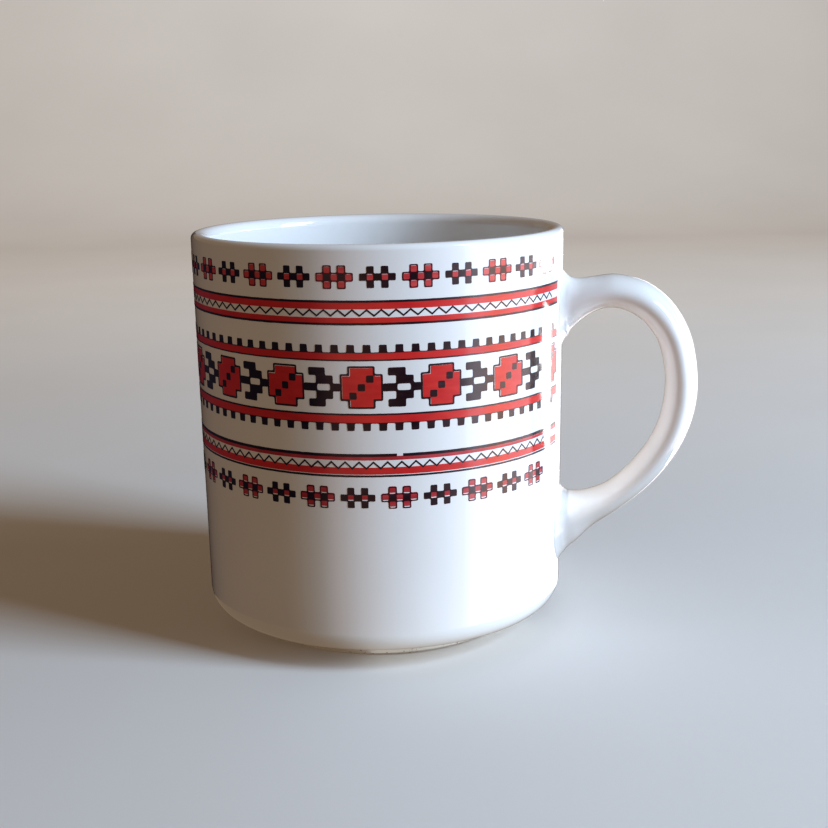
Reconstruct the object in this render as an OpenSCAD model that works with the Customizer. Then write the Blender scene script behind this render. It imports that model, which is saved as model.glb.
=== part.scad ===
/* [Cup] */
// Height from the foot's resting plane to the top of the rim
mug_h = 86.7; // [86:0.1:94]
// Outside radius at the rim
rim_r = 40; // [39.5:0.1:42]
// Outside radius where the wall meets the lower corner
base_r = 39.4; // [38.8:0.1:42]
// Radius of the straight bore inside the cup
bore_r = 36.7; // [35:0.1:37.2]
// Radius of the outer lower corner
corner_r = 4.6; // [3:0.1:6]
// Height of the middle of the outer lower corner
corner_z = 8.7; // [8:0.1:11]
// Thickness of the floor
floor_t = 4.8; // [4:0.1:8]
// Radius between the bore and the floor
floor_corner_r = 10.5; // [10:0.5:14]
// Rounding of the rim on its outer side
lip_r = 1.2; // [0.6:0.1:1.8]

/* [Foot ring] */
// Outside radius of the foot ring
foot_r = 28.8; // [26:0.1:31]
// Width of the foot ring
foot_w = 3.8; // [3:0.1:6]
// Height of the foot ring
foot_h = 3.2; // [2.4:0.1:3.6]
// Rounding of the foot ring's lower edges
foot_edge_r = 0.7; // [0.3:0.1:1.2]

/* [Handle] */
// Width of the strap across the mug
strap_w = 12.5; // [10:0.5:15]
// Width of the strap where it meets the upper slip joint
upper_root_w = 12.4; // [10:0.2:12.4]
// Width of the strap where it meets the lower slip joint
lower_root_w = 14.8; // [12:0.2:17]
// How far the slip joints stand out from the wall
slip_t = 1.4; // [0.8:0.1:2.2]
// How far the slip joints spread round the strap
slip_flare = 1.8; // [0.5:0.1:1.8]

/* [Fired print] */
// Thickness of the printed layer on the glaze
print_t = 0.1; // [0.06:0.01:0.3]
// Angle of bare wall centred on the handle
bare_deg = 24; // [24:0.2:40]
// Roses that would fill a whole turn
roses_per_turn = 16; // [12:1:16]
// Side of one square of a rose
rose_cell = 1.58; // [1.2:0.01:1.64]
// Side of one square of a small flower
flower_cell = 1.4; // [1:0.01:1.6]
// Angle between neighbouring small flowers
flower_pitch = 11.85; // [11.5:0.05:16]
// Teeth that would fill a whole turn
teeth_per_turn = 80; // [50:1:90]
// Zigzag peaks that would fill a whole turn
peaks_per_turn = 90; // [60:1:100]
// Height of the middle of the rose chain
rose_z = 59.45; // [59.2:0.05:59.7]
// Height of the middle of the upper flower row
upper_flower_z = 80.65; // [79.7:0.05:81]
// Height of the middle of the lower flower row
lower_flower_z = 37.55; // [36:0.05:38]
// Top of the upper zigzag band
upper_zigzag_z = 76.2; // [75:0.05:76.8]
// Top of the lower zigzag band
lower_zigzag_z = 46.4; // [45:0.05:47.5]
// Rose side of the upper toothed band
upper_teeth_z = 64.6; // [64.2:0.05:65.5]
// Rose side of the lower toothed band
lower_teeth_z = 54.3; // [53:0.05:54.7]

/* [Hidden] */

porcelain = "#f2f1ee";
bare_clay = "#ddd6c8";
red_ink = "#c8322f";
black_ink = "#2a2226";

arc_points = 10;
floor_z = foot_h + floor_t;
lip_in_r = rim_r - bore_r - lip_r;
corner_turn = 80;
foot_land = 0.3;

// Strap edges from the upper root round to the lower root, as [distance out from the rim's
// radius, height]. The strap's section runs from an outer point to the inner one beside it.
strap_outer = [[1.4, 76.1], [3.2, 75.7], [6.6, 76.1], [11.4, 76.5], [17.8, 74.8], [23.3, 70.3],
               [27.0, 63.7], [28.6, 55.6], [28.4, 48.4], [26.3, 41.3], [22.5, 34.8], [17.6, 29.4],
               [11.9, 24.8], [7.1, 21.4], [3.6, 17.9], [1.2, 15.1]];
strap_inner = [[1.1, 62.8], [3.0, 66.1], [6.4, 68.8], [10.2, 69.6], [14.6, 68.3], [18.0, 65.5],
               [20.5, 61.4], [21.8, 55.0], [21.5, 48.8], [20.0, 43.2], [17.2, 38.2], [13.6, 33.9],
               [9.6, 31.0], [5.6, 29.6], [2.8, 29.3], [1.1, 29.6]];
stations = len(strap_outer) - 1;
steps = 3;
sides = 20;
squareness = 0.88;
root_stations = 3;

// Layers of a zigzag band from its top down: black line, red, bare, red, bare gap, black line
upper_zigzag = [0.37, 1.4, 1.5, 1.0, 0, 0.36];
lower_zigzag = [0.5, 0.65, 1.45, 1.25, 0.3, 0.4];
zigzag_line = 0.2;
zigzag_h = 1.1;
zigzag_drop = 0.1;
// Layers of a toothed band from the roses out: thin black line, red stripe, teeth
upper_teeth = [0.2, 1.45, 1.5];
lower_teeth = [0.3, 1.6, 1.45];
tooth_w = 1.4;
outline = 0.22;
rose_heart = 1.42;
flower_gap = 0.12;
flower_heart = 1.05;
leaf_window = 0.8;
leaf_lean = 0.28;
leaf_gap = 0.06;
stencil_depth = 6;
cut_over = 0.3;

// Places round the turn of one motif of each row, with the handle at 0 degrees
rose_at = -18;
upper_flower_at = -21.1;
lower_flower_at = -16.4;
upper_tooth_at = -79.3;
lower_tooth_at = -79.7;
upper_peak_at = -79.5;
lower_peak_at = -78.7;

// A flower's squares as [column, row]: its arms and links, and the hearts of its two crosses
flower_arms = [[-2, 0], [0, 0], [2, 0], [-1, 1], [-1, -1], [1, 1], [1, -1]];
flower_hearts = [[-1, 0], [1, 0]];

function arc(x, y, r, from, to) =
    [for (i = [0:arc_points]) let (a = from + (to - from) * i / arc_points)
        [x + r * cos(a), y + r * sin(a)]];

// Outside radius of the wall, which narrows a little towards the foot
function wall_r(z) = base_r + (rim_r - base_r) * (z - corner_z) / (mug_h - corner_z);

function arc_deg(u) = u * 180 / (PI * rim_r);

function sum(list, count) = count == 0 ? 0 : list[count - 1] + sum(list, count - 1);

function mean(points) = [for (k = [0:2]) sum([for (p = points) p[k]], len(points)) / len(points)];

function spline(list, i, t) =
    let (p1 = list[i], p2 = list[i + 1],
         p0 = i == 0 ? 2 * p1 - p2 : list[i - 1],
         p3 = i + 2 > stations ? 2 * p2 - p1 : list[i + 2])
    0.5 * (2 * p1 + (p2 - p0) * t + (2 * p0 - 5 * p1 + 4 * p2 - p3) * t * t
        + (3 * p1 - p0 - 3 * p2 + p3) * t * t * t);

function rounded(v) = sign(v) * pow(abs(v), squareness);

// Point on the upright cylinder that stands out from the wall
function on_wall(y, z, out) = [sqrt(pow(wall_r(z) + out, 2) - y * y), y, z];

// One ring of the strap; at the roots it bends to follow the wall
function strap_ring(u) =
    let (i = min(floor(u), stations - 1), t = u - i,
         outer = spline(strap_outer, i, t), inner = spline(strap_inner, i, t),
         root = max(0, 1 - min(u, stations - u) / root_stations),
         end_w = u < stations / 2 ? upper_root_w : lower_root_w,
         width = strap_w + (end_w - strap_w) * root * root,
         hug = max(0, 1 - min(u, stations - u)))
    [for (j = [0:sides - 1])
        let (a = 360 * j / sides,
             flat = (outer + inner) / 2 + (outer - inner) / 2 * rounded(cos(a)),
             y = width / 2 * rounded(sin(a)),
             wrapped = on_wall(y, flat[1], slip_t))
        [(rim_r + flat[0]) * (1 - hug) + wrapped[0] * hug, y, flat[1]]];

// A ring of points spread or shrunk about its middle, then laid on the wall
function laid_ring(ring, scale, spread, out) =
    let (mid = mean(ring))
    [for (p = ring)
        let (v = [p[1] - mid[1], p[2] - mid[2]], k = scale + spread / norm(v))
        on_wall(mid[1] + v[0] * k, mid[2] + v[1] * k, out)];

// Closed skin over rings that all have the same number of points
module loft(rings) {
    n = len(rings[0]);
    last = len(rings) - 1;
    first_middle = (last + 1) * n;
    skin = [for (i = [0:last - 1], j = [0:n - 1])
        let (a = i * n + j, b = i * n + (j + 1) % n) each [[a, b, a + n], [b, b + n, a + n]]];
    ends = [for (j = [0:n - 1]) each [[first_middle, (j + 1) % n, j],
        [first_middle + 1, last * n + j, last * n + (j + 1) % n]]];
    polyhedron(concat([for (ring = rings) each ring], [mean(rings[0]), mean(rings[last])]),
        concat(skin, ends));
}

module cup_body() {
    color(porcelain) rotate_extrude($fn = 96) polygon(concat(
        [[0, foot_h], [foot_r + foot_land, foot_h]],
        arc(base_r - corner_r, corner_z, corner_r, -corner_turn, 0),
        arc(rim_r - lip_r, mug_h - lip_r, lip_r, 0, 90),
        arc(bore_r + lip_in_r, mug_h - lip_in_r, lip_in_r, 90, 180),
        arc(bore_r - floor_corner_r, floor_z + floor_corner_r, floor_corner_r, 0, -90),
        [[0, floor_z]]));
}

module foot_ring() {
    inner_r = foot_r - foot_w;
    color(bare_clay) rotate_extrude($fn = 96) polygon(concat(
        arc(inner_r + foot_edge_r, foot_edge_r, foot_edge_r, 180, 270),
        arc(foot_r - foot_edge_r, foot_edge_r, foot_edge_r, -90, 0),
        [[foot_r, foot_h], [inner_r, foot_h]]));
}

module handle() {
    first = strap_ring(0);
    last = strap_ring(stations);
    color(porcelain) loft(concat(
        [laid_ring(first, 0.5, 0, slip_t)],
        [for (k = [0:stations * steps]) strap_ring(k / steps)],
        [laid_ring(last, 0.5, 0, slip_t)]));
}

// The collar of slip that fills the corner between a root of the strap and the wall
module slip_joint(root) {
    layers = 5;
    loft(concat(
        [laid_ring(root, 0.5, 0, 0)],
        [for (k = [layers:-1:1]) let (t = k / layers)
            laid_ring(root, 1, slip_flare * (1 - sqrt(1 - t * t)), slip_t * (1 - t))],
        [root, laid_ring(root, 0.5, 0, slip_t)]));
}

module upper_slip_joint() {
    color(porcelain) slip_joint(strap_ring(0));
}

module lower_slip_joint() {
    ring = strap_ring(stations);
    color(porcelain) slip_joint([for (j = [sides - 1:-1:0]) ring[j]]);
}

// A skin on the wall, as thick as the print, between two heights
module skin(z0, z1, angle = 360) {
    rotate_extrude(angle = angle, $fn = 96)
        polygon([[wall_r(z0), z0], [wall_r(z0) + print_t, z0],
                 [wall_r(z1) + print_t, z1], [wall_r(z1), z1]]);
}

// Print between two places along the wall, measured from the motif's middle
module patch(u0, u1, z0, z1) {
    rotate([0, 0, arc_deg(u0)]) skin(z0, z1, arc_deg(u1 - u0));
}

// A block in front of the wall, which cuts its own outline out of the skin
module stencil(u0, u1, z0, z1, over = 0) {
    translate([rim_r - stencil_depth / 2 - over, u0, z0])
        cube([stencil_depth + 2 * over, u1 - u0, z1 - z0]);
}

module square_stencil(u, z, side, over = 0) {
    stencil(u - side / 2, u + side / 2, z - side / 2, z + side / 2, over);
}

// Print wherever the stencils fall on the wall
module printed(z, half_h) {
    intersection() {
        skin(z - half_h, z + half_h);
        union() children();
    }
}

module square_at(u, z, side) {
    patch(u - side / 2, u + side / 2, z - side / 2, z + side / 2);
}

// A stripe along the whole printed sheet
module stripe(z0, z1) {
    rotate([0, 0, bare_deg / 2]) skin(z0, z1, 360 - bare_deg);
}

// Copies of a motif all round the sheet, wherever a whole one of that width fits
module round_the_sheet(pitch, at, width) {
    margin = bare_deg / 2 + arc_deg(width) / 2;
    first = at + pitch * ceil((margin - at) / pitch);
    for (a = [first:pitch:360 - margin]) rotate([0, 0, a]) children();
}

module flowers_red(z, red_at) {
    side = flower_cell - flower_gap;
    width = 5 * flower_cell;
    round_the_sheet(2 * flower_pitch, red_at, width)
        for (c = flower_arms) square_at(c[0] * flower_cell, z + c[1] * flower_cell, side);
    round_the_sheet(2 * flower_pitch, red_at + flower_pitch, width)
        for (c = flower_hearts) square_at(c[0] * flower_cell, z, flower_heart);
}

module flowers_black(z, red_at) {
    width = 5 * flower_cell;
    round_the_sheet(2 * flower_pitch, red_at, width)
        for (c = flower_hearts) square_at(c[0] * flower_cell, z, flower_cell - flower_gap);
    round_the_sheet(2 * flower_pitch, red_at + flower_pitch, width)
        printed(z, 2 * flower_cell) difference() {
            union() {
                stencil(-width / 2, width / 2, z - flower_cell / 2, z + flower_cell / 2);
                for (c = flower_hearts)
                    stencil((c[0] - 0.5) * flower_cell, (c[0] + 0.5) * flower_cell,
                        z - 1.5 * flower_cell, z + 1.5 * flower_cell);
            }
            for (c = flower_hearts)
                square_stencil(c[0] * flower_cell, z, flower_heart, cut_over);
        }
}

module zigzag_red(top, layers) {
    for (k = [1, 3]) stripe(top - sum(layers, k + 1), top - sum(layers, k));
}

// One slanting stroke of the zigzag line, flat across its short width
module stroke(z, side) {
    half_pitch = PI * rim_r / peaks_per_turn / 2;
    rotate([0, 0, side * arc_deg(half_pitch / 2)]) translate([wall_r(z), 0, z])
        rotate([side * -atan2(zigzag_h, half_pitch), 0, 0])
            translate([0, -norm([zigzag_h, half_pitch]) / 2, -zigzag_line / 2])
                cube([print_t, norm([zigzag_h, half_pitch]), zigzag_line]);
}

module zigzag_black(top, layers, peak_at) {
    middle = top - sum(layers, 2) - zigzag_drop - zigzag_line / 2 - zigzag_h / 2;
    stripe(top - layers[0], top);
    stripe(top - sum(layers, 6), top - sum(layers, 5));
    round_the_sheet(360 / peaks_per_turn, peak_at, 2 * PI * rim_r / peaks_per_turn)
        for (side = [-1, 1]) stroke(middle, side);
}

// Toothed bands grow away from the roses: up for the upper one, down for the lower one
module band_layer(from, way, layers, k) {
    near = from + way * sum(layers, k);
    far = from + way * sum(layers, k + 1);
    stripe(min(near, far), max(near, far));
}

module teeth_black(from, way, layers, at) {
    near = from + way * sum(layers, 2);
    far = from + way * sum(layers, 3);
    band_layer(from, way, layers, 0);
    round_the_sheet(360 / teeth_per_turn, at, tooth_w)
        patch(-tooth_w / 2, tooth_w / 2, min(near, far), max(near, far));
}

// A rose's block of squares without its four corners
module rose_block(extra = 0, over = 0) {
    for (n = [3, 5])
        stencil(-n * rose_cell / 2 - extra, n * rose_cell / 2 + extra,
            rose_z - (8 - n) * rose_cell / 2 - extra,
            rose_z + (8 - n) * rose_cell / 2 + extra, over);
}

module rose_hearts(over = 0) {
    for (k = [-1:1])
        square_stencil(k * rose_cell, rose_z + k * rose_cell, rose_heart, over);
}

module rose_leaf() {
    reach = PI * rim_r / roses_per_turn - 2.5 * rose_cell - outline - leaf_gap;
    half_window = leaf_window * rose_cell / 2;
    difference() {
        stencil(-reach, reach, rose_z - rose_cell / 2, rose_z + rose_cell / 2);
        stencil(leaf_lean * rose_cell - 2 * half_window, leaf_lean * rose_cell + 2 * half_window,
            rose_z - half_window, rose_z + half_window, cut_over);
    }
    for (way = [-1, 1], row = [1, 2]) {
        near = rose_z + way * (row - 0.5) * rose_cell;
        far = rose_z + way * (row + 0.5) * rose_cell;
        start = (leaf_lean - row) * rose_cell;
        stencil(start, start + 2 * rose_cell, min(near, far), max(near, far));
    }
}

module rose_chain_red() {
    color(red_ink) round_the_sheet(360 / roses_per_turn, rose_at, 5 * rose_cell)
        printed(rose_z, 3 * rose_cell) difference() {
            rose_block();
            rose_hearts(cut_over);
        }
}

module rose_chain_black() {
    pitch = 360 / roses_per_turn;
    color(black_ink) {
        round_the_sheet(pitch, rose_at, 5 * rose_cell) printed(rose_z, 3 * rose_cell) {
            rose_hearts();
            difference() {
                rose_block(outline);
                rose_block(0, cut_over);
            }
        }
        round_the_sheet(pitch, rose_at - pitch / 2, 6 * rose_cell)
            printed(rose_z, 3 * rose_cell) rose_leaf();
    }
}

module upper_flowers_red() {
    color(red_ink) flowers_red(upper_flower_z, upper_flower_at);
}

module upper_flowers_black() {
    color(black_ink) flowers_black(upper_flower_z, upper_flower_at);
}

module upper_zigzag_red() {
    color(red_ink) zigzag_red(upper_zigzag_z, upper_zigzag);
}

module upper_zigzag_black() {
    color(black_ink) zigzag_black(upper_zigzag_z, upper_zigzag, upper_peak_at);
}

module upper_teeth_red() {
    color(red_ink) band_layer(upper_teeth_z, 1, upper_teeth, 1);
}

module upper_teeth_black() {
    color(black_ink) teeth_black(upper_teeth_z, 1, upper_teeth, upper_tooth_at);
}

module lower_teeth_red() {
    color(red_ink) band_layer(lower_teeth_z, -1, lower_teeth, 1);
}

module lower_teeth_black() {
    color(black_ink) teeth_black(lower_teeth_z, -1, lower_teeth, lower_tooth_at);
}

module lower_zigzag_red() {
    color(red_ink) zigzag_red(lower_zigzag_z, lower_zigzag);
}

module lower_zigzag_black() {
    color(black_ink) zigzag_black(lower_zigzag_z, lower_zigzag, lower_peak_at);
}

module lower_flowers_red() {
    color(red_ink) flowers_red(lower_flower_z, lower_flower_at + flower_pitch);
}

module lower_flowers_black() {
    color(black_ink) flowers_black(lower_flower_z, lower_flower_at + flower_pitch);
}

cup_body();
foot_ring();
handle();
upper_slip_joint();
lower_slip_joint();
upper_flowers_red();
upper_flowers_black();
upper_zigzag_red();
upper_zigzag_black();
upper_teeth_red();
upper_teeth_black();
rose_chain_red();
rose_chain_black();
lower_teeth_red();
lower_teeth_black();
lower_zigzag_red();
lower_zigzag_black();
lower_flowers_red();
lower_flowers_black();
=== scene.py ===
"""A glazed ceramic mug with a fired folk border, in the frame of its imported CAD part.

Lengths are in millimetres until a mesh is made, which turns them into metres. The print is drawn
flat, as loops of (s, z) points: s runs along the wall from the line that faces the camera, to the
right, and z is the height. Each drawing is then laid on the wall as a thin plate.
"""

import math

import bpy
from mathutils import Matrix, Vector, noise
from mathutils.geometry import delaunay_2d_cdt


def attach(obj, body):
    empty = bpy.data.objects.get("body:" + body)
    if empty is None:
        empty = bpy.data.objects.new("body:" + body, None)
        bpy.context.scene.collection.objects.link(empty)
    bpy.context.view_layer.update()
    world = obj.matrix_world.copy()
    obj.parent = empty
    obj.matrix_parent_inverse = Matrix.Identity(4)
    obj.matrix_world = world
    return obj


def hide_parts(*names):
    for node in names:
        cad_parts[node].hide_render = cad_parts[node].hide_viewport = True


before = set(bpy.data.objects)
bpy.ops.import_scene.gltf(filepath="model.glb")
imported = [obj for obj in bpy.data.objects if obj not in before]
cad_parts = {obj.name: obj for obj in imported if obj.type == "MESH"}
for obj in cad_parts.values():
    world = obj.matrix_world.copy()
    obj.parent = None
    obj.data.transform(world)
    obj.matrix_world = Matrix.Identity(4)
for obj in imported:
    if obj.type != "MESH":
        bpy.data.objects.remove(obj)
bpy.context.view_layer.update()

MM = 0.001
# noise_vector takes its offsets from the seed, which is otherwise set by the clock
NOISE_SEED = 7

# The cup's sizes, which repeat the CAD part's
MUG_H, RIM_R, BASE_R, BORE_R = 86.7, 40.0, 39.4, 36.7
CORNER_R, CORNER_Z, CORNER_TURN = 4.6, 8.7, 80
FLOOR_Z, FLOOR_CORNER_R = 8.0, 10.5
LIP_R = 1.2
FOOT_R, FOOT_W, FOOT_H, FOOT_EDGE_R = 28.8, 3.8, 3.2, 0.7
FOOT_LAND = 0.3
TURN_STEPS = 288
ARC_STEPS = 14

# The handle: the strap's outer and inner edges as (distance out from the rim, height)
STRAP_OUTER = [(1.4, 76.1), (3.2, 75.7), (6.6, 76.1), (11.4, 76.5), (17.8, 74.8), (23.3, 70.3),
               (27.0, 63.7), (28.6, 55.6), (28.4, 48.4), (26.3, 41.3), (22.5, 34.8), (17.6, 29.4),
               (11.9, 24.8), (7.1, 21.4), (3.6, 17.9), (1.2, 15.1)]
STRAP_INNER = [(1.2, 63.6), (3.2, 66.2), (6.8, 68.7), (10.5, 69.5), (14.6, 68.3), (18.0, 65.5),
               (20.5, 61.4), (21.8, 55.0), (21.5, 48.8), (20.0, 43.2), (17.2, 38.2), (13.6, 33.9),
               (9.6, 30.5), (5.6, 28.9), (2.8, 28.5), (1.1, 28.8)]
STRAP_W = 12.5
UPPER_ROOT_W, LOWER_ROOT_W = 12.0, 14.2
ROOT_STATIONS = 3
STRAP_SIDES = 56
STEPS_PER_STATION = 10
SLIP_T = 1.4
# How far the roots spread at the wall, and how far out from it that starts, on each side
UPPER_FLARE = {"up": (0.7, 1.3), "side": (0.9, 2.6), "down": (1.2, 1.2)}
LOWER_FLARE = {"up": (0.8, 1.0), "side": (0.9, 2.6), "down": (1.2, 1.4)}
ROOT_LAYERS = 10
SUNK = 0.25
SKIN = 0.01

# The printed sheet and its rows
CAMERA_SIDE_DEG = -80
SHEET_BARE_DEG = 24
INK_T = {"red": 0.03, "black": 0.05}
INK_SUNK = 0.02
MESH_STEP = 1.0
WOBBLE, WOBBLE_SCALE, FINE_SCALE, FINE_SHARE, FINE_SEED = 0.035, 0.9, 3.1, 0.5, 7
# The most of a side that a rounded corner takes, and how far grid points stay off an edge
CORNER_SHARE, GRID_MARGIN = 0.45, 0.4

ROSE_Z, ROSE_CELL, ROSE_PITCH, ROSE_S = 59.45, 1.58, 2 * math.pi * RIM_R / 16, 11.87
ROSE_OUTLINE_CELL, ROSE_LINE = 1.53, 0.34
ROSE_HEART, ROSE_HEART_STEP, ROSE_HEART_VARIES = 1.4, 1.66, 0.08
# The red's shift under the outline, rightwards and upwards, and how much it varies
ROSE_SHIFT, ROSE_SHIFT_VARIES = (0.17, -0.2), (0.2, 0.32)
LEAF_CELL, LEAF_LEAN, LEAF_WIDE = 1.54, -0.63, 1.1
LEAF_WINDOW, LEAF_WINDOW_S = (2.65, 1.3), 0.4
LEAF_OVERLAP = 0.02
FLOWER_PITCH = 8.275
FLOWER_CELL, FLOWER_HEART, HEART_FILL = 1.4, 1.18, 1.2
FLOWER_RIM, BLACK_FLOWER_SHARE = 0.14, 0.985
WINDOW_TRIM, FILL_TRIM = (0.16, 0.18), (0.04, 0.1)
RED_FLOWER_CELLS, BLACK_FLOWER_CELLS = 5.2, 5
UPPER_FLOWER_Z, UPPER_BLACK_S = 80.65, -0.25
LOWER_FLOWER_Z, LOWER_BLACK_S = 37.4, -5.12
# How far the reds sit above their windows
UPPER_SLIVER, LOWER_SLIVER = -0.12, 0.25
TOOTH_PITCH = 2 * math.pi * RIM_R / 80
UPPER_TOOTH_S, LOWER_TOOTH_S = 0.49, 0.21
TOOTH_TOP, TOOTH_FOOT, TOOTH_H = 1.42, 1.58, 1.47
TOOTH_ROUND, TOOTH_HAIRLINE, TOOTH_CURVE = 0.12, 0.12, (0.03, 0.2)
TOOTH_ROOM = 0.4
# The rows of teeth: where the dark line starts, its width, and the red's
UPPER_TEETH_Z, UPPER_TEETH_LINE, UPPER_TEETH_RED = 64.6, 0.25, 1.42
LOWER_TEETH_Z, LOWER_TEETH_LINE, LOWER_TEETH_RED = 54.3, 0.32, 1.6
RED_OVERLAP = 0.05
PEAK_PITCH = 2 * math.pi * RIM_R / 90
UPPER_PEAK_S, LOWER_PEAK_S = 0.35, 0.91
ZIGZAG_LINE = 0.3
# Stripes of the zigzag rows, as (lower edge, upper edge)
UPPER_TOP_LINE, UPPER_TOP_RED = (75.82, 76.24), (74.56, 75.88)
UPPER_LOW_RED, UPPER_LOW_LINE = (71.88, 72.95), (71.52, 71.94)
UPPER_PEAK_Z, UPPER_TROUGH_Z = 74.42, 73.3
LOWER_TOP_LINE, LOWER_TOP_RED = (45.72, 46.28), (45.02, 45.8)
LOWER_LOW_RED, LOWER_LOW_LINE = (42.16, 43.54), (41.62, 42.0)
LOWER_PEAK_Z, LOWER_TROUGH_Z = 44.62, 43.36
LINE_GAP = (2.75, 4.0)

# Corner radii of the printed shapes
SOFT_SILHOUETTE, SOFT_BLACK, SOFT_WINDOW = 0.3, 0.24, 0.28
SOFT_FILL, SOFT_HEART, SOFT_HEART_FILL = 0.2, 0.2, 0.12
SOFT_ROSE, SOFT_ROSE_LINE, SOFT_ROSE_HEART = 0.15, 0.35, 0.25
SOFT_LEAF, SOFT_LEAF_WINDOW = 0.3, 0.42

# The camera, solved from the photo's outlines; its place is measured from the mug's axis and foot
CAMERA_DISTANCE, CAMERA_H = 287.9, 110.2
CAMERA_PITCH_DEG, CAMERA_YAW_DEG, CAMERA_ROLL_DEG = -12.74, 1.42, -1.0
CAMERA_LENS, CAMERA_SENSOR = 57.52, 36

# The studio, in metres
SWEEP_FRONT, SWEEP_BACK, SWEEP_BEND, SWEEP_H = 1.6, 0.9, 0.5, 1.9
SWEEP_ROWS, SWEEP_COLUMNS, SWEEP_STEPS = (-0.4, 0, 0.4), (-2.2, -1, 0, 1, 2.2), 24
WORLD_COLOUR, WORLD_STRENGTH = (1.0, 0.74, 0.52, 1), 0.205
MUG_MIDDLE_Z = 0.045
# Each lamp's size, radiance and colour; a place round the mug is (degrees, distance, height)
WINDOW_PLACE, WINDOW = (65, 0.85, 0.38), ((0.32, 0.7), 17.3, (0.6, 0.782, 1.0))
BACKDROP_PLACE, BACKDROP = (180, 0.25, 1.0), ((1.2, 0.4), 5, (1.0, 0.98, 0.95))
BACKDROP_AIM_Z = -0.05
WALL_CLEARANCE, WALL_BOUNCE = 0.0015, ((0.05, 0.04), 0.62, (1.0, 0.97, 0.94))
HANDLE_BOUNCE_PLACE = (0.075, -0.02, 0.0005)
HANDLE_BOUNCE = ((0.16, 0.16), 0.1, (1.0, 1.0, 0.96))
FLOOR_BOUNCE_PLACE = (32, 0.062, 0.0005)
FLOOR_BOUNCE = ((0.08, 0.08), 0.38, (0.88, 0.96, 1.0))
# The reflector card, and its stops as (degrees round from the camera, colour)
CARD_R, CARD_BOTTOM, CARD_TOP, CARD_COLUMNS = 0.2, -0.07, 0.11, 310
CARD_GLOW = [(-160, (0, 0, 0)), (-120, (0.05, 0.05, 0.08)), (-36, (0.05, 0.05, 0.08)),
             (-28, (0.5, 0.28, 0.25)), (-10, (0.5, 0.25, 0.16)),
             (17, (0.1, 0, 0)), (34, (0.7, 0.5, 0.5)), (46, (1.6, 1.2, 1.3)),
             (50, (3.2, 2.9, 3.1)), (57, (3.3, 3.1, 3.2)), (63, (3.8, 2.6, 2.1)),
             (72, (3.8, 2.6, 2.1)), (80, (3.2, 2.7, 2.7)), (104, (3.0, 2.6, 2.6)),
             (108, (14, 14, 14)), (118, (14, 14, 14)), (122, (2.2, 1.8, 1.8)),
             (150, (1.2, 1.2, 1.2))]


def arc(x, y, r, start, end, steps=ARC_STEPS):
    """Points of an arc round (x, y), between two angles in degrees."""
    angles = [math.radians(start + (end - start) * i / steps) for i in range(steps + 1)]
    return [(x + r * math.cos(a), y + r * math.sin(a)) for a in angles]


def wall_r(z):
    """The outer wall's radius at a height; the wall tapers a little."""
    return BASE_R + (RIM_R - BASE_R) * (z - CORNER_Z) / (MUG_H - CORNER_Z)


def new_piece(name, verts, faces, sharp, materials, nodes, tones=None):
    """One mesh object, in place of the CAD nodes that it stands for."""
    mesh = bpy.data.meshes.new(name)
    mesh.from_pydata([tuple(c * MM for c in v) for v in verts], [], faces)
    mesh.validate()
    mesh.shade_smooth()
    wanted = {tuple(sorted(e)) for e in sharp}
    for edge in mesh.edges:
        edge.use_edge_sharp = tuple(sorted(edge.vertices)) in wanted
    for material in materials:
        mesh.materials.append(material)
    if tones:
        mesh.polygons.foreach_set("material_index", tones)
    piece = bpy.data.objects.new(name, mesh)
    bpy.context.scene.collection.objects.link(piece)
    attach(piece, "root")
    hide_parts(*nodes)
    return piece


# ---------------------------------------------------------------- cup, foot and handle

def lathe(profile, closed):
    """Verts and faces of a profile of (r, z) points turned about Z, seen from outside."""
    verts, rows = [], []
    for r, z in profile:
        if r < 1e-6:
            rows.append([len(verts)] * TURN_STEPS)
            verts.append((0, 0, z))
            continue
        rows.append(list(range(len(verts), len(verts) + TURN_STEPS)))
        for k in range(TURN_STEPS):
            a = 2 * math.pi * k / TURN_STEPS
            verts.append((r * math.cos(a), r * math.sin(a), z))
    faces = []
    pairs = list(zip(rows, rows[1:])) + ([(rows[-1], rows[0])] if closed else [])
    for low, high in pairs:
        for k in range(TURN_STEPS):
            n = (k + 1) % TURN_STEPS
            loop = [low[k], low[n], high[n], high[k]]
            loop = [v for i, v in enumerate(loop) if v != loop[i - 1]]
            faces.append(loop)
    return verts, faces


def make_cup(glaze):
    lip_in_r = RIM_R - BORE_R - LIP_R
    profile = [(0, FOOT_H), (FOOT_R - FOOT_W, FOOT_H), (FOOT_R + FOOT_LAND, FOOT_H)]
    profile += arc(BASE_R - CORNER_R, CORNER_Z, CORNER_R, -CORNER_TURN, 0)
    profile += arc(RIM_R - LIP_R, MUG_H - LIP_R, LIP_R, 0, 90)
    profile += arc(BORE_R + lip_in_r, MUG_H - lip_in_r, lip_in_r, 90, 180)[1:]
    profile += arc(BORE_R - FLOOR_CORNER_R, FLOOR_Z + FLOOR_CORNER_R, FLOOR_CORNER_R, 0, -90)
    profile += [(0, FLOOR_Z)]
    verts, faces = lathe(profile, False)
    return new_piece("cup", verts, faces, [], [glaze], ["cup_body"])


def make_foot(clay):
    inner = FOOT_R - FOOT_W
    profile = arc(inner + FOOT_EDGE_R, FOOT_EDGE_R, FOOT_EDGE_R, 180, 270)
    profile += arc(FOOT_R - FOOT_EDGE_R, FOOT_EDGE_R, FOOT_EDGE_R, -90, 0)
    profile += [(FOOT_R, FOOT_H), (inner, FOOT_H)]
    verts, faces = lathe(profile, True)
    return new_piece("foot", verts, faces, [], [clay], ["foot_ring"])


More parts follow.
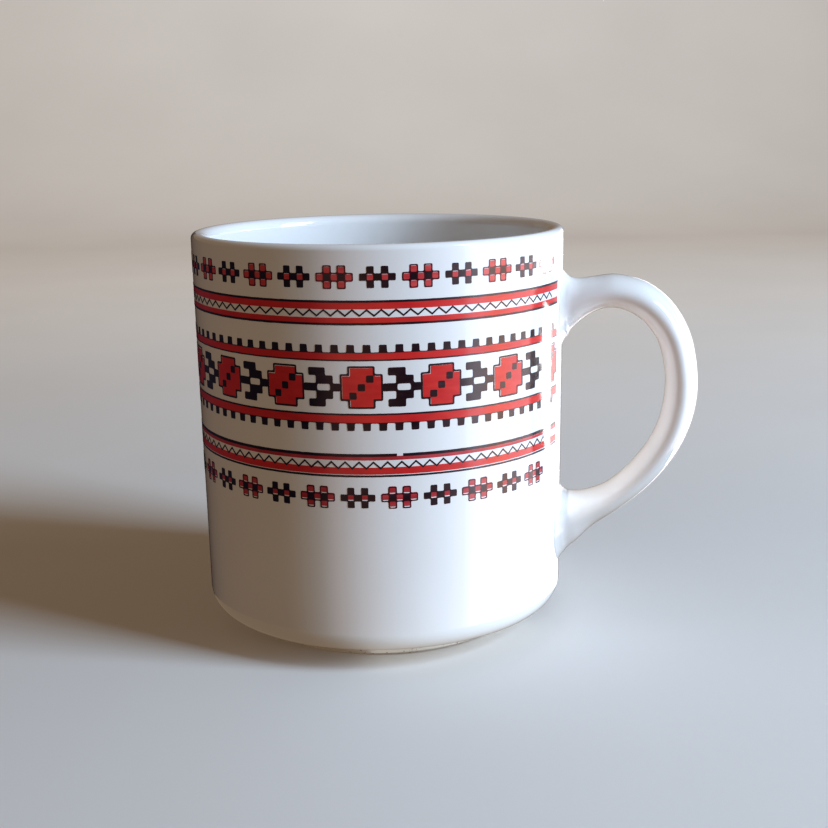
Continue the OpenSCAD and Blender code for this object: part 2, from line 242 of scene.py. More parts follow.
def spline(points, i, t):
    """A point between points i and i + 1 of a Catmull-Rom curve."""
    p1, p2 = Vector(points[i]), Vector(points[i + 1])
    p0 = Vector(points[i - 1]) if i > 0 else 2 * p1 - p2
    p3 = Vector(points[i + 2]) if i + 2 < len(points) else 2 * p2 - p1
    return 0.5 * (2 * p1 + (p2 - p0) * t + (2 * p0 - 5 * p1 + 4 * p2 - p3) * t * t
                  + (3 * p1 - p0 - 3 * p2 + p3) * t ** 3)


def on_wall(y, z, out):
    return Vector((math.sqrt((wall_r(z) + out) ** 2 - y * y), y, z))


def strap_ring(u):
    """One ring of the strap at station u; at the roots it bends to follow the wall."""
    last = len(STRAP_OUTER) - 1
    i = min(int(u), last - 1)
    outer, inner = spline(STRAP_OUTER, i, u - i), spline(STRAP_INNER, i, u - i)
    to_end = min(u, last - u)
    root = max(0, 1 - to_end / ROOT_STATIONS)
    root_w = UPPER_ROOT_W if u < last / 2 else LOWER_ROOT_W
    width = STRAP_W + (root_w - STRAP_W) * root * root
    hug = max(0, 1 - to_end) ** 2
    ring = []
    for j in range(STRAP_SIDES):
        a = 2 * math.pi * j / STRAP_SIDES
        flat = (outer + inner) / 2 + (outer - inner) / 2 * math.cos(a)
        y = width / 2 * math.sin(a)
        x = (RIM_R + flat.x - SKIN) * (1 - hug) + on_wall(y, flat.y, SLIP_T).x * hug
        ring.append(Vector((x, y, flat.y)))
    return ring


def flared(ring, flare):
    """The ring spread out near the wall, as slip does.

    At the sides it spreads by a parabola, and above and below by a quarter of an ellipse.
    """
    middle = sum(ring, Vector()) / len(ring)
    rings = []
    for p in ring:
        out = off_wall(p)
        away = Vector((0, p.y - middle.y, p.z - middle.z)).normalized()
        share = away.z * away.z
        by = 0
        for (spread, reach), weight in ((flare["side"], 1 - share),
                                        (flare["up" if away.z > 0 else "down"], share)):
            near = 1 - min(max(out, 0) / reach, 1)
            by += weight * spread * (near * near * (1 - share)
                                     + (1 - math.sqrt(1 - near * near)) * share)
        moved = p + away * by
        rings.append(on_wall(moved.y, moved.z, out))
    return rings


def off_wall(p):
    """How far a point is out from the wall."""
    return math.hypot(p.x, p.y) - wall_r(p.z)


def root_rings(ring, next_ring):
    """Rings that carry a root of the strap on down into the wall, the way it was heading."""
    rings = []
    for k in range(ROOT_LAYERS):
        out = SLIP_T * k / ROOT_LAYERS if k else -SUNK
        layer = []
        for p, q in zip(ring, next_ring):
            run = max(off_wall(q) - off_wall(p), (p - q).length)
            ahead = (p - q) * (off_wall(p) - max(out, 0)) / run
            layer.append(on_wall(p.y + ahead.y, p.z + ahead.z, out))
        rings.append(layer)
    return rings


def make_handle(glaze):
    last = len(STRAP_OUTER) - 1
    body = [strap_ring(k / STEPS_PER_STATION) for k in range(last * STEPS_PER_STATION + 1)]
    half = len(body) // 2
    upper = root_rings(body[0], body[1]) + body[:half]
    lower = body[half:] + root_rings(body[-1], body[-2])[::-1]
    rings = [flared(ring, UPPER_FLARE) for ring in upper]
    rings += [flared(ring, LOWER_FLARE) for ring in lower]
    verts = [p for ring in rings for p in ring]
    faces = []
    for i in range(len(rings) - 1):
        for j in range(STRAP_SIDES):
            n = (j + 1) % STRAP_SIDES
            faces.append([i * STRAP_SIDES + j, (i + 1) * STRAP_SIDES + j,
                          (i + 1) * STRAP_SIDES + n, i * STRAP_SIDES + n])
    faces.append(list(range(STRAP_SIDES)))
    faces.append([(len(rings) - 1) * STRAP_SIDES + j for j in reversed(range(STRAP_SIDES))])
    return new_piece("strap_handle", verts, faces, [], [glaze],
                     ["handle", "upper_slip_joint", "lower_slip_joint"])


# ---------------------------------------------------------------- drawing the print

def rectangle(s, z, w, h):
    return [(s - w / 2, z - h / 2), (s + w / 2, z - h / 2),
            (s + w / 2, z + h / 2), (s - w / 2, z + h / 2)]


def cell_outline(cells, size):
    """The outer loop round a set of whole squares (column, row), counterclockwise."""
    steps = {}
    for c, r in cells:
        for (dc, dr), start, end in (((0, -1), (0, 0), (1, 0)), ((1, 0), (1, 0), (1, 1)),
                                     ((0, 1), (1, 1), (0, 1)), ((-1, 0), (0, 1), (0, 0))):
            if (c + dc, r + dr) not in cells:
                steps[(c + start[0], r + start[1])] = (c + end[0], r + end[1])
    here = first = min(steps)
    loop = []
    while True:
        there = steps[here]
        if not loop or (there[0] - here[0], there[1] - here[1]) != heading:
            loop.append(here)
        heading = (there[0] - here[0], there[1] - here[1])
        here = there
        if here == first:
            return [((c - 0.5) * size, (r - 0.5) * size) for c, r in loop]


def grown(loop, by):
    """The loop with each of its upright and level sides moved outwards."""
    moved = []
    for i, p in enumerate(loop):
        before, after = loop[i - 1], loop[(i + 1) % len(loop)]
        ds = math.copysign(1, after[1] - p[1] or p[1] - before[1])
        dz = -math.copysign(1, after[0] - p[0] or p[0] - before[0])
        moved.append((p[0] + by * ds, p[1] + by * dz))
    return moved


def softened(loop, r):
    """The loop with its corners rounded."""
    soft = []
    for i, p in enumerate(loop):
        here = Vector(p)
        before, after = Vector(loop[i - 1]) - here, Vector(loop[(i + 1) % len(loop)]) - here
        cut = min(r, before.length * CORNER_SHARE, after.length * CORNER_SHARE)
        start, end = here + before.normalized() * cut, here + after.normalized() * cut
        for t in (0, 0.33, 0.67, 1):
            soft.append(tuple(start * (1 - t) ** 2 + here * 2 * t * (1 - t) + end * t * t))
    return soft


def shifted(loop, ds, dz):
    return [(s + ds, z + dz) for s, z in loop]


def dense(loop, step=MESH_STEP):
    """The loop with points added so that no side is longer than a step."""
    points = []
    for i, p in enumerate(loop):
        q = loop[(i + 1) % len(loop)]
        count = max(1, math.ceil(math.dist(p, q) / step))
        for k in range(count):
            points.append((p[0] + (q[0] - p[0]) * k / count, p[1] + (q[1] - p[1]) * k / count))
    return points


def wobbled(loop, amount=WOBBLE, seed=0.0):
    """The loop with the small unevenness of a printed edge."""
    out = []
    for s, z in loop:
        n = noise.noise_vector(Vector((s * WOBBLE_SCALE, z * WOBBLE_SCALE, seed)))
        fine = noise.noise_vector(Vector((s * FINE_SCALE, z * FINE_SCALE, seed + FINE_SEED)))
        out.append((s + amount * (n.x + FINE_SHARE * fine.x),
                    z + amount * (n.y + FINE_SHARE * fine.y)))
    return out


def inside(point, loops):
    """Whether a point is inside by the even-odd rule."""
    s, z = point
    odd = False
    for loop in loops:
        for i, (s1, z1) in enumerate(loop):
            s0, z0 = loop[i - 1]
            if (z0 > z) != (z1 > z) and s < (s1 - s0) * (z - z0) / (z1 - z0) + s0:
                odd = not odd
    return odd


def grid_points(loops):
    """Points inside a wide drawing, so that its plate can follow the wall's curve."""
    outline = loops[0]
    s0, s1 = min(p[0] for p in outline), max(p[0] for p in outline)
    z0, z1 = min(p[1] for p in outline), max(p[1] for p in outline)
    if min(s1 - s0, z1 - z0) < 2 * MESH_STEP:
        return []
    found = []
    edge_points = [p for loop in loops for p in loop]
    for a in range(math.floor(s0 / MESH_STEP), math.ceil(s1 / MESH_STEP)):
        for b in range(math.floor(z0 / MESH_STEP), math.ceil(z1 / MESH_STEP)):
            p = ((a + 0.5) * MESH_STEP, (b + 0.5) * MESH_STEP)
            to_edge = min(math.dist(p, q) for q in edge_points)
            if inside(p, loops) and to_edge > GRID_MARGIN * MESH_STEP:
                found.append(p)
    return found


def laid(s, z, lift):
    """A drawn point on the wall."""
    a = math.radians(CAMERA_SIDE_DEG) + s / RIM_R
    r = wall_r(z) + lift
    return (r * math.cos(a), r * math.sin(a), z)


class Ink:
    """One ink layer of one row, gathered as plates."""

    def __init__(self, colour):
        self.lift = INK_T[colour]
        self.verts, self.faces, self.sharp, self.tones = [], [], [], []

    def add(self, *loops, tone=0, wobble=WOBBLE, seed=0.0):
        """One island: an outer loop, and the loops of its holes."""
        loops = [wobbled(dense(loop), wobble, seed) for loop in loops]
        points = [p for loop in loops for p in loop]
        edges, start = [], 0
        for loop in loops:
            n = len(loop)
            edges += [(start + i, start + (i + 1) % n) for i in range(n)]
            start += n
        flat, _, triangles, *_ = delaunay_2d_cdt(
            [Vector(p) for p in points + grid_points(loops)], edges, [], 0, 1e-6)
        kept = []
        for a, b, c in triangles:
            centre = (flat[a] + flat[b] + flat[c]) / 3
            if inside(centre, loops):
                turn = (flat[b] - flat[a]).cross(flat[c] - flat[a])
                kept.append((a, b, c) if turn > 0 else (a, c, b))
        base, count = len(self.verts), len(flat)
        self.verts += [laid(p.x, p.y, self.lift) for p in flat]
        self.verts += [laid(p.x, p.y, -INK_SUNK) for p in flat]
        used = {}
        for face in kept:
            for i in range(3):
                used[(face[i], face[(i + 1) % 3])] = True
        rim = [(a, b) for a, b in used if (b, a) not in used]
        self.faces += [tuple(base + v for v in face) for face in kept]
        self.faces += [tuple(base + count + v for v in reversed(face)) for face in kept]
        self.faces += [(base + a, base + count + a, base + count + b, base + b) for a, b in rim]
        for a, b in rim:
            self.sharp += [(base + a, base + b), (base + count + a, base + count + b)]
        self.tones += [tone] * (2 * len(kept) + len(rim))

    def piece(self, name, materials, slot):
        return new_piece(name, self.verts, self.faces, self.sharp, materials, [name],
                         self.tones)


def sheet_ends():
    """Where the printed sheet begins and ends along the wall."""
    bare = SHEET_BARE_DEG / 2
    return [math.radians(a - CAMERA_SIDE_DEG) * RIM_R for a in (bare - 360, -bare)]


def places(at, pitch, width):
    """Places of a motif along the sheet, wherever a whole one fits."""
    start, end = sheet_ends()
    first = math.ceil((start + width / 2 - at) / pitch)
    last = math.floor((end - width / 2 - at) / pitch)
    return [at + pitch * k for k in range(first, last + 1)]


def stripe(z0, z1, s0=None, s1=None):
    """A level stripe, from end to end of the sheet unless it is told where."""
    start, end = sheet_ends()
    s0, s1 = start if s0 is None else s0, end if s1 is None else s1
    return rectangle((s0 + s1) / 2, (z0 + z1) / 2, s1 - s0, z1 - z0)


# ---------------------------------------------------------------- the rows

DOUBLE_CROSS = {(c, 0) for c in range(-2, 3)} | {(c, r) for c in (-1, 1) for r in (-1, 1)}
FLOWER_ARMS = sorted(DOUBLE_CROSS - {(-1, 0), (1, 0)})
ROSE = {(c, r) for c in range(-2, 3) for r in range(-2, 3) if abs(c) + abs(r) < 4}


def make_flowers(row, z, black_s, sliver, red_name, inks):
    """Small flowers in turn: red ones with dark outlines, black ones with red hearts."""
    red, black = Ink("red"), Ink("black")
    cell = FLOWER_CELL
    for s in places(black_s + FLOWER_PITCH, 2 * FLOWER_PITCH, RED_FLOWER_CELLS * cell):
        silhouette = softened(grown(cell_outline(DOUBLE_CROSS, cell), FLOWER_RIM), SOFT_SILHOUETTE)
        windows = []
        for c, r in FLOWER_ARMS:
            window = rectangle(c * cell, r * cell, cell - WINDOW_TRIM[0], cell - WINDOW_TRIM[1])
            windows.append(shifted(softened(window, SOFT_WINDOW), s, z))
            fill = rectangle(c * cell, r * cell + sliver, cell - FILL_TRIM[0], cell - FILL_TRIM[1])
            red.add(shifted(softened(fill, SOFT_FILL), s, z), seed=s)
        for c in (-1, 1):
            middle = softened(rectangle(c * cell, 0, FLOWER_HEART, FLOWER_HEART), SOFT_HEART)
            windows.append(shifted(middle, s, z))
            black.add(shifted(middle, s, z), seed=s)
        black.add(shifted(silhouette, s, z), *windows, seed=s, tone=1)
    for s in places(black_s, 2 * FLOWER_PITCH, BLACK_FLOWER_CELLS * cell):
        silhouette = softened(cell_outline(DOUBLE_CROSS, cell * BLACK_FLOWER_SHARE), SOFT_BLACK)
        hearts = []
        for c in (-1, 1):
            heart = softened(rectangle(c * cell, 0, FLOWER_HEART, FLOWER_HEART), SOFT_HEART)
            hearts.append(shifted(heart, s, z))
            fill = rectangle(c * cell, sliver, HEART_FILL, HEART_FILL)
            red.add(shifted(softened(fill, SOFT_HEART_FILL), s, z), seed=s)
        black.add(shifted(silhouette, s, z), *hearts, seed=s)
    red.piece(row + "_red", [inks[red_name]], "red_ink")
    black.piece(row + "_black", [inks["black"], inks["maroon"]], "black_ink")


def zigzag(peak_s, z_peak, z_trough):
    """The zigzag line, as one long thin loop."""
    half = PEAK_PITCH / 2
    peaks = places(peak_s, PEAK_PITCH, 2 * PEAK_PITCH)
    middle = [(peaks[0] - half, z_trough)]
    for s in peaks:
        middle += [(s, z_peak), (s + half, z_trough)]
    rise = ZIGZAG_LINE / 2 * math.hypot(half, z_peak - z_trough) / half
    return [(s, z - rise) for s, z in middle] + [(s, z + rise) for s, z in reversed(middle)]


def make_upper_zigzag(inks):
    red, black = Ink("red"), Ink("black")
    black.add(stripe(*UPPER_TOP_LINE))
    red.add(stripe(*UPPER_TOP_RED))
    black.add(zigzag(UPPER_PEAK_S, UPPER_PEAK_Z, UPPER_TROUGH_Z))
    red.add(stripe(*UPPER_LOW_RED))
    black.add(stripe(*UPPER_LOW_LINE))
    red.piece("upper_zigzag_red", [inks["red"]], "red_ink")
    black.piece("upper_zigzag_black", [inks["black"]], "black_ink")


def make_lower_zigzag(inks):
    """The lower row, whose top line is broken once, near the front."""
    red, black = Ink("red"), Ink("black")
    black.add(stripe(*LOWER_TOP_LINE, s1=LINE_GAP[0]))
    black.add(stripe(*LOWER_TOP_LINE, s0=LINE_GAP[1]))
    red.add(stripe(*LOWER_TOP_RED), tone=1)
    black.add(zigzag(LOWER_PEAK_S, LOWER_PEAK_Z, LOWER_TROUGH_Z))
    red.add(stripe(*LOWER_LOW_RED))
    black.add(stripe(*LOWER_LOW_LINE))
    red.piece("lower_zigzag_red", [inks["red"], inks["crimson"]], "red_ink")
    black.piece("lower_zigzag_black", [inks["black"]], "black_ink")


def comb(way, z_foot, tooth_s):
    """Teeth that stand on a hairline along the edge of a red stripe."""
    start, end = sheet_ends()
    cut, (inset, rise) = TOOTH_ROUND, TOOTH_CURVE
    edge = []
    for s in places(tooth_s, TOOTH_PITCH, TOOTH_FOOT + TOOTH_ROOM):
        edge += [(s - TOOTH_FOOT / 2 - cut, 0), (s - TOOTH_FOOT / 2 + inset, rise),
                 (s - TOOTH_TOP / 2, TOOTH_H - cut), (s - TOOTH_TOP / 2 + cut, TOOTH_H),
                 (s + TOOTH_TOP / 2 - cut, TOOTH_H), (s + TOOTH_TOP / 2, TOOTH_H - cut),
                 (s + TOOTH_FOOT / 2 - inset, rise), (s + TOOTH_FOOT / 2 + cut, 0)]
    line = TOOTH_HAIRLINE
    loop = [(start, -line), (end, -line), (end, 0)] + edge[::-1] + [(start, 0)]
    return [(s, z_foot + way * z) for s, z in loop]


def make_teeth(row, way, z_rose, line, red_h, tooth_s, inks):
    """A dark line, a red stripe and a comb of teeth, upwards (way 1) or downwards (way -1)."""
    red, black = Ink("red"), Ink("black")
    z_red = z_rose + way * line
    z_foot = z_red + way * red_h
    black.add(stripe(*sorted((z_rose, z_red))))
    red.add(stripe(*sorted((z_red - way * RED_OVERLAP, z_foot))))
    black.add(comb(way, z_foot, tooth_s))
    red.piece(row + "_red", [inks["red"]], "red_ink")
    black.piece(row + "_black", [inks["black"]], "black_ink")


def leaf_outline(reach):
    """The leaf's silhouette: a link bar with two notched leaves that lean over it."""
    c, left = LEAF_CELL, LEAF_LEAN * LEAF_CELL
    right, wide = left + c, LEAF_WIDE * c
    upper = [(reach, c / 2), (right + wide, c / 2), (right + wide, 1.5 * c),
             (left + wide, 1.5 * c), (left + wide, 2.5 * c), (left - wide, 2.5 * c),
             (left - wide, 1.5 * c), (right - wide, 1.5 * c), (right - wide, c / 2),
             (-reach, c / 2)]
    return upper + [(s, -z) for s, z in reversed(upper)]


def make_roses(inks):
    red, black = Ink("red"), Ink("black")
    block = cell_outline(ROSE, ROSE_CELL)
    opening = cell_outline(ROSE, ROSE_OUTLINE_CELL)
    half = 2.5 * ROSE_OUTLINE_CELL + ROSE_LINE
    roses = places(ROSE_S, ROSE_PITCH, 5 * ROSE_CELL)
    for s in roses:
        slip = noise.noise_vector(Vector((s, 0.4, 2.2)))
        ds = ROSE_SHIFT[0] + ROSE_SHIFT_VARIES[0] * slip.x
        dz = ROSE_SHIFT[1] + ROSE_SHIFT_VARIES[1] * slip.y
        red.add(shifted(softened(block, SOFT_ROSE), s + ds, ROSE_Z + dz), seed=s)
        black.add(shifted(softened(grown(opening, ROSE_LINE), SOFT_ROSE_LINE), s, ROSE_Z),
                  shifted(softened(opening, SOFT_ROSE), s, ROSE_Z), seed=s)
        for k in (-1, 0, 1):
            side = ROSE_HEART + ROSE_HEART_VARIES * noise.noise(Vector((s, k, 5)))
            step = k * ROSE_HEART_STEP
            heart = rectangle(s + step, ROSE_Z + step, side, side)
            black.add(softened(heart, SOFT_ROSE_HEART), seed=s + k)
    for s in roses[:-1]:
        reach = ROSE_PITCH / 2 - half + LEAF_OVERLAP
        middle = s + ROSE_PITCH / 2
        window = softened(rectangle(LEAF_WINDOW_S, 0, *LEAF_WINDOW), SOFT_LEAF_WINDOW)
        black.add(shifted(softened(leaf_outline(reach), SOFT_LEAF), middle, ROSE_Z),
                  shifted(window, middle, ROSE_Z), seed=s)
    red.piece("rose_chain_red", [inks["red"]], "red_ink")
    black.piece("rose_chain_black", [inks["black"]], "black_ink")


def make_print(inks):
    make_flowers("upper_flowers", UPPER_FLOWER_Z, UPPER_BLACK_S, UPPER_SLIVER, "coral", inks)
    make_upper_zigzag(inks)
    make_teeth("upper_teeth", 1, UPPER_TEETH_Z, UPPER_TEETH_LINE, UPPER_TEETH_RED, UPPER_TOOTH_S,
               inks)
    make_roses(inks)
    make_teeth("lower_teeth", -1, LOWER_TEETH_Z, LOWER_TEETH_LINE, LOWER_TEETH_RED, LOWER_TOOTH_S,
               inks)
    make_lower_zigzag(inks)
    make_flowers("lower_flowers", LOWER_FLOWER_Z, LOWER_BLACK_S, LOWER_SLIVER, "crimson", inks)


# ---------------------------------------------------------------- materials

# Noise scales, in waves per metre, and bump depths in metres
GLAZE_CLOUD, GLAZE_SPECK, GLAZE_GLOSS, GLAZE_WAVE, GLAZE_GRAIN = 28, 620, 90, 60, 420
GLAZE_WAVE_DEPTH, GLAZE_GRAIN_DEPTH = 0.00006, 0.00001
CLAY_CLOUD, CLAY_GRIT, CLAY_ROUGH, CLAY_GRAIN, CLAY_GRAIN_DEPTH = 70, 1500, 300, 1400, 0.0001
INK_STREAK, INK_CLOUD, INK_GLOSS, INK_GRAIN, INK_GRAIN_DEPTH = 260, 60, 500, 900, 0.00001
INK_STRETCH = (1, 1, 3.5)
PAPER_CLOUD = 6
GLAZE_IOR, CLAY_IOR, INK_IOR = 1.52, 1.45, 1.5
GLAZE_ROUGHNESS, CLAY_ROUGHNESS, PAPER_ROUGHNESS = 0.07, 0.8, 0.85

# Each ink's thin, usual and thick cover, and its roughness
INK_LOOKS = {
    "red": ((0.58, 0.030, 0.032), (0.65, 0.038, 0.036), (0.70, 0.050, 0.042), 0.12),
    "crimson": ((0.36, 0.02, 0.03), (0.46, 0.04, 0.05), (0.58, 0.09, 0.10), 0.16),
    "coral": ((0.50, 0.045, 0.055), (0.60, 0.070, 0.075), (0.66, 0.11, 0.10), 0.14),
    "maroon": ((0.030, 0.003, 0.008), (0.060, 0.006, 0.014), (0.11, 0.014, 0.026), 0.16),
    "black": ((0.010, 0.006, 0.010), (0.018, 0.011, 0.016), (0.035, 0.02, 0.028), 0.16),
}


def new_material(name, roughness, ior=1.5):
    material = bpy.data.materials.new(name)
    material.use_nodes = True
    tree = material.node_tree
    shader = tree.nodes["Principled BSDF"]
    shader.inputs["IOR"].default_value = ior
    shader.inputs["Roughness"].default_value = roughness
    return material, tree, shader


def noise_node(tree, scale, detail=3.0, stretch=None, distortion=0.0):
    """Noise over the object's own place in metres; stretch scales it along each axis."""
    coords = tree.nodes.new("ShaderNodeTexCoord")
    node = tree.nodes.new("ShaderNodeTexNoise")
    node.inputs["Scale"].default_value = scale
    node.inputs["Detail"].default_value = detail
    node.inputs["Distortion"].default_value = distortion
    source = coords.outputs["Object"]
    if stretch:
        mapping = tree.nodes.new("ShaderNodeMapping")
        mapping.inputs["Scale"].default_value = stretch
        tree.links.new(source, mapping.inputs["Vector"])
        source = mapping.outputs["Vector"]
    tree.links.new(source, node.inputs["Vector"])
    return node.outputs["Fac"]


def ramp(tree, value, stops):
    """A colour ramp over a value; each stop is (place, colour)."""
    node = tree.nodes.new("ShaderNodeValToRGB")
    elements = node.color_ramp.elements
    while len(elements) < len(stops):
        elements.new(0.5)
    for element, (place, colour) in zip(elements, stops):
        element.position = place
        element.color = (*colour, 1)
    tree.links.new(value, node.inputs["Fac"])
    return node.outputs["Color"]


def grey(v):
    return (v, v, v)


def add_bump(tree, shader, layers):
    """Bump from several noises, each with its strength and its depth in metres."""
    normal = None
    for height, strength, depth in layers:
        bump = tree.nodes.new("ShaderNodeBump")
        bump.inputs["Strength"].default_value = strength
        bump.inputs["Distance"].default_value = depth
        tree.links.new(height, bump.inputs["Height"])
        if normal:
            tree.links.new(normal, bump.inputs["Normal"])
        normal = bump.outputs["Normal"]
    tree.links.new(normal, shader.inputs["Normal"])


def mixed(tree, factor, a, b):
    """A mix of a and b, each a colour or a socket, by a factor socket."""
    node = tree.nodes.new("ShaderNodeMix")
    node.data_type = "RGBA"
    tree.links.new(factor, node.inputs["Factor"])
    for value, socket in ((a, node.inputs[6]), (b, node.inputs[7])):
        if isinstance(value, tuple):
            socket.default_value = (*value, 1)
        else:
            tree.links.new(value, socket)
    return node.outputs[2]


def glaze_material():
    """White glaze: faint clouds of tone, a rare iron speck, and slow waves in the gloss."""
    material, tree, shader = new_material("white_glaze", GLAZE_ROUGHNESS, GLAZE_IOR)
    cloud = ramp(tree, noise_node(tree, GLAZE_CLOUD, 4), [(0.3, (0.80, 0.79, 0.775)),
                                                 (0.7, (0.84, 0.835, 0.83))])
    speck = ramp(tree, noise_node(tree, GLAZE_SPECK, 1), [(0.86, grey(0)), (0.88, grey(0.5))])
    colour = mixed(tree, speck, cloud, (0.42, 0.36, 0.3))
    tree.links.new(colour, shader.inputs["Base Color"])
    gloss = ramp(tree, noise_node(tree, GLAZE_GLOSS, 5), [(0.3, grey(0.05)), (0.75, grey(0.1))])
    tree.links.new(gloss, shader.inputs["Roughness"])
    add_bump(tree, shader, [(noise_node(tree, GLAZE_WAVE, 1), 0.35, GLAZE_WAVE_DEPTH),
                            (noise_node(tree, GLAZE_GRAIN, 2), 0.2, GLAZE_GRAIN_DEPTH)])
    return material


def clay_material():
    """Bare fired clay: a dry, sandy, slightly stained surface."""
    material, tree, shader = new_material("bare_clay", CLAY_ROUGHNESS, CLAY_IOR)
    body = ramp(tree, noise_node(tree, CLAY_CLOUD, 6), [(0.3, (0.66, 0.62, 0.54)),
                                                (0.7, (0.80, 0.77, 0.70))])
    grit = ramp(tree, noise_node(tree, CLAY_GRIT, 2), [(0.62, grey(0)), (0.7, grey(1))])
    colour = mixed(tree, grit, body, (0.36, 0.3, 0.24))
    tree.links.new(colour, shader.inputs["Base Color"])
    rough = ramp(tree, noise_node(tree, CLAY_ROUGH, 4), [(0.3, grey(0.7)), (0.7, grey(0.9))])
    tree.links.new(rough, shader.inputs["Roughness"])
    add_bump(tree, shader, [(noise_node(tree, CLAY_GRAIN, 4), 0.6, CLAY_GRAIN_DEPTH)])
    return material


def ink_material(name, dark, plain, bright, roughness):
    """Fired ink: uneven cover in streaks along the row, and a gloss a little below glaze."""
    material, tree, shader = new_material(name, roughness, INK_IOR)
    streak = noise_node(tree, INK_STREAK, 4, stretch=INK_STRETCH)
    cover = ramp(tree, streak, [(0.28, dark), (0.5, plain), (0.75, bright)])
    cloud = ramp(tree, noise_node(tree, INK_CLOUD, 3), [(0.35, grey(0)), (0.8, grey(0.55))])
    colour = mixed(tree, cloud, cover, bright)
    tree.links.new(colour, shader.inputs["Base Color"])
    gloss = ramp(tree, noise_node(tree, INK_GLOSS, 4), [(0.3, grey(roughness * 0.7)),
                                                  (0.75, grey(roughness * 1.5))])
    tree.links.new(gloss, shader.inputs["Roughness"])
    add_bump(tree, shader, [(noise_node(tree, INK_GRAIN, 3), 0.3, INK_GRAIN_DEPTH)])
    return material


def floor_material():
    material, tree, shader = new_material("floor_paper", PAPER_ROUGHNESS)
    tone = ramp(tree, noise_node(tree, PAPER_CLOUD, 5), [(0.3, (0.74, 0.72, 0.69)),
                                               (0.7, (0.78, 0.76, 0.73))])
    shader.inputs["Specular IOR Level"].default_value = 0
    tree.links.new(tone, shader.inputs["Base Color"])
    return material


# ---------------------------------------------------------------- camera, light and floor

def make_camera():
    """The camera at the photo's viewing angle."""
    side = math.radians(CAMERA_SIDE_DEG)
    pitch, yaw, roll = (math.radians(a) for a in
                        (CAMERA_PITCH_DEG, CAMERA_YAW_DEG, CAMERA_ROLL_DEG))
    place = Vector((math.cos(side) * CAMERA_DISTANCE, math.sin(side) * CAMERA_DISTANCE,
                    CAMERA_H)) * MM
    heading = side + math.pi - yaw
    forward = Vector((math.cos(heading) * math.cos(pitch), math.sin(heading) * math.cos(pitch),
                      math.sin(pitch)))
    right = forward.cross(Vector((0, 0, 1))).normalized()
    up = right.cross(forward)
    turned_right = right * math.cos(roll) + up * math.sin(roll)
    turned_up = up * math.cos(roll) - right * math.sin(roll)
    matrix = Matrix((turned_right, turned_up, -forward)).transposed().to_4x4()
    matrix.translation = place
    data = bpy.data.cameras.new("camera")
    data.lens = CAMERA_LENS
    data.sensor_width = CAMERA_SENSOR
    data.clip_start = 0.01
    camera = bpy.data.objects.new("camera", data)
    camera.matrix_world = matrix
    bpy.context.scene.collection.objects.link(camera)
    bpy.context.scene.camera = camera


def round_the_mug(from_camera_deg, distance, height):
    """A place at an angle round the mug from the camera, + to the right."""
    a = math.radians(CAMERA_SIDE_DEG + from_camera_deg)
    return Vector((math.cos(a) * distance, math.sin(a) * distance, height))


def add_lamp(name, place, towards, size, radiance, colour, only=None):
    """A rectangular light; with only, it lights those pieces, as bounce from what is near."""
    power = radiance * math.pi * size[0] * size[1]
    data = bpy.data.lights.new(name, "AREA")
    data.shape = "RECTANGLE"
    data.size, data.size_y = size
    data.energy = power
    data.color = colour
    lamp = bpy.data.objects.new(name, data)
    lamp.location = place
    lamp.rotation_euler = towards.to_track_quat("-Z", "Y").to_euler()
    lamp.visible_camera = False
    bpy.context.scene.collection.objects.link(lamp)
    if only:
        lamp.visible_glossy = False
        group = bpy.data.collections.new(name + "_receiver")
        for piece in only:
            group.objects.link(piece)
        lamp.light_linking.receiver_collection = group


def make_light(cup, foot, handle):
    """A warm dim room, a window at the right, a lit backdrop, and bounce from wall and floor."""
    world = bpy.data.worlds.new("studio")
    world.use_nodes = True
    background = world.node_tree.nodes["Background"]
    background.inputs["Color"].default_value = WORLD_COLOUR
    background.inputs["Strength"].default_value = WORLD_STRENGTH
    bpy.context.scene.world = world
    window = round_the_mug(*WINDOW_PLACE)
    add_lamp("window", window, Vector((0, 0, MUG_MIDDLE_Z)) - window, *WINDOW)
    behind = round_the_mug(*BACKDROP_PLACE)
    add_lamp("backdrop_light", behind, Vector((behind.x, behind.y, BACKDROP_AIM_Z)), *BACKDROP)
    wall, outwards, up = RIM_R * MM + WALL_CLEARANCE, Vector((1, 0, 0)), Vector((0, 0, 1))
    add_lamp("wall_bounce", Vector((wall, 0, MUG_MIDDLE_Z)), outwards, *WALL_BOUNCE, [handle])
    add_lamp("handle_bounce", Vector(HANDLE_BOUNCE_PLACE), up, *HANDLE_BOUNCE, [handle])
    add_lamp("floor_bounce", round_the_mug(*FLOOR_BOUNCE_PLACE), up, *FLOOR_BOUNCE, [cup, foot])


def glow_at(angle):
    """Brightness of the reflector card at an angle round from the camera, between its stops."""
    for (a0, low), (a1, high) in zip(CARD_GLOW, CARD_GLOW[1:]):
        if a0 <= angle <= a1:
            t = (angle - a0) / (a1 - a0)
            return [l + (h - l) * t for l, h in zip(low, high)]
    return [0, 0, 0]


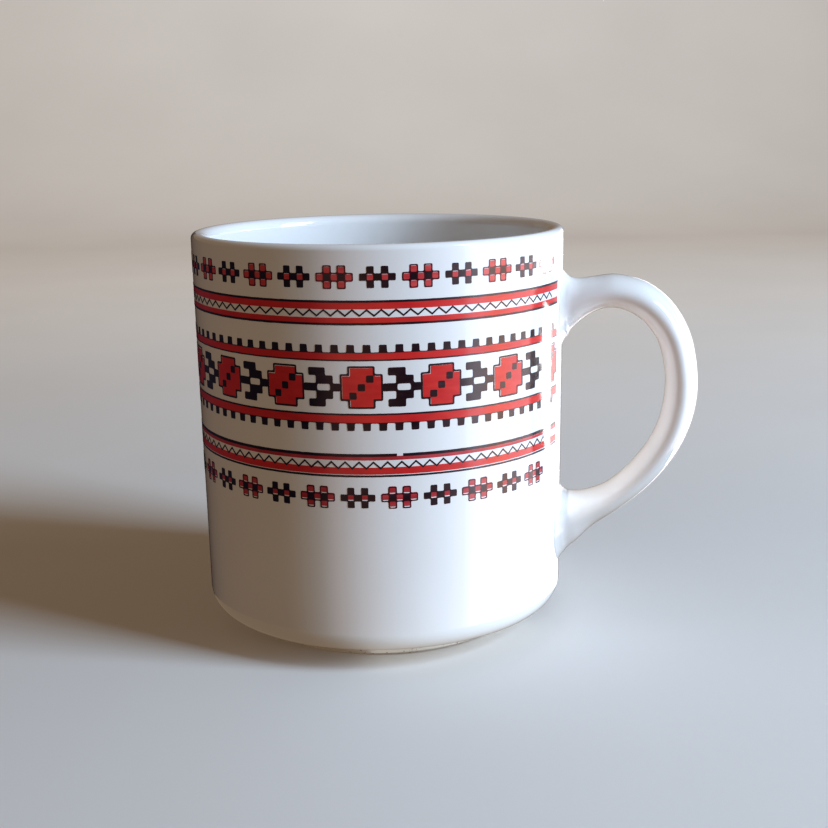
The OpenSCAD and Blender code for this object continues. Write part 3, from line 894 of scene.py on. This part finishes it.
def make_card():
    """A curved reflector card, seen only as gloss on the glaze, which lights nothing else."""
    first, last = CARD_GLOW[0][0], CARD_GLOW[-1][0]
    verts, faces, glow = [], [], []
    for k in range(CARD_COLUMNS + 1):
        angle = first + (last - first) * k / CARD_COLUMNS
        a = math.radians(CAMERA_SIDE_DEG + angle)
        for z in (CARD_BOTTOM, CARD_TOP):
            verts.append((math.cos(a) * CARD_R, math.sin(a) * CARD_R, z))
            glow.append(glow_at(angle))
    for k in range(CARD_COLUMNS):
        faces.append((2 * k, 2 * k + 1, 2 * k + 3, 2 * k + 2))
    mesh = bpy.data.meshes.new("reflector_card")
    mesh.from_pydata(verts, [], faces)
    colours = mesh.color_attributes.new("glow", "FLOAT_COLOR", "POINT")
    for item, colour in zip(colours.data, glow):
        item.color = (*colour, 1)
    material = bpy.data.materials.new("card_glow")
    material.use_nodes = True
    material.cycles.emission_sampling = "NONE"
    tree = material.node_tree
    emission = tree.nodes.new("ShaderNodeEmission")
    attribute = tree.nodes.new("ShaderNodeAttribute")
    attribute.attribute_name = "glow"
    tree.links.new(attribute.outputs["Color"], emission.inputs["Color"])
    tree.links.new(emission.outputs["Emission"], tree.nodes["Material Output"].inputs["Surface"])
    mesh.materials.append(material)
    card = bpy.data.objects.new("reflector_card", mesh)
    for ray in ("camera", "diffuse", "transmission", "volume_scatter", "shadow"):
        setattr(card, "visible_" + ray, False)
    bpy.context.scene.collection.objects.link(card)


def make_floor():
    """A paper sweep: a floor that curves up into a backdrop behind the mug.

    It doesn't light the mug or show in its gloss: the bounce lamps and the card do that.
    """
    side = math.radians(CAMERA_SIDE_DEG)
    ahead = Vector((-math.cos(side), -math.sin(side), 0))
    across = Vector((ahead.y, -ahead.x, 0))
    profile = [(-SWEEP_FRONT, 0)] + [(y, 0) for y in SWEEP_ROWS]
    profile += [(y, SWEEP_BEND + z) for y, z in arc(SWEEP_BACK, 0, SWEEP_BEND, -90, 0, SWEEP_STEPS)]
    profile += [(SWEEP_BACK + SWEEP_BEND, SWEEP_H)]
    verts = [ahead * y + across * x + Vector((0, 0, z)) for y, z in profile
             for x in SWEEP_COLUMNS]
    n = len(SWEEP_COLUMNS)
    faces = [(i * n + j, i * n + j + 1, (i + 1) * n + j + 1, (i + 1) * n + j)
             for i in range(len(profile) - 1) for j in range(n - 1)]
    mesh = bpy.data.meshes.new("floor")
    mesh.from_pydata(verts, [], faces)
    mesh.shade_smooth()
    mesh.materials.append(floor_material())
    floor = bpy.data.objects.new("floor", mesh)
    floor.visible_glossy = False
    floor.visible_diffuse = False
    bpy.context.scene.collection.objects.link(floor)


def main():
    noise.seed_set(NOISE_SEED)
    glaze = glaze_material()
    inks = {name: ink_material(name + "_ink", *look) for name, look in INK_LOOKS.items()}
    cup = make_cup(glaze)
    foot = make_foot(clay_material())
    handle = make_handle(glaze)
    make_print(inks)
    make_floor()
    make_light(cup, foot, handle)
    make_card()
    make_camera()
    bpy.context.scene.view_settings.view_transform = "Standard"
    bpy.context.scene.view_settings.look = "Medium High Contrast"


main()
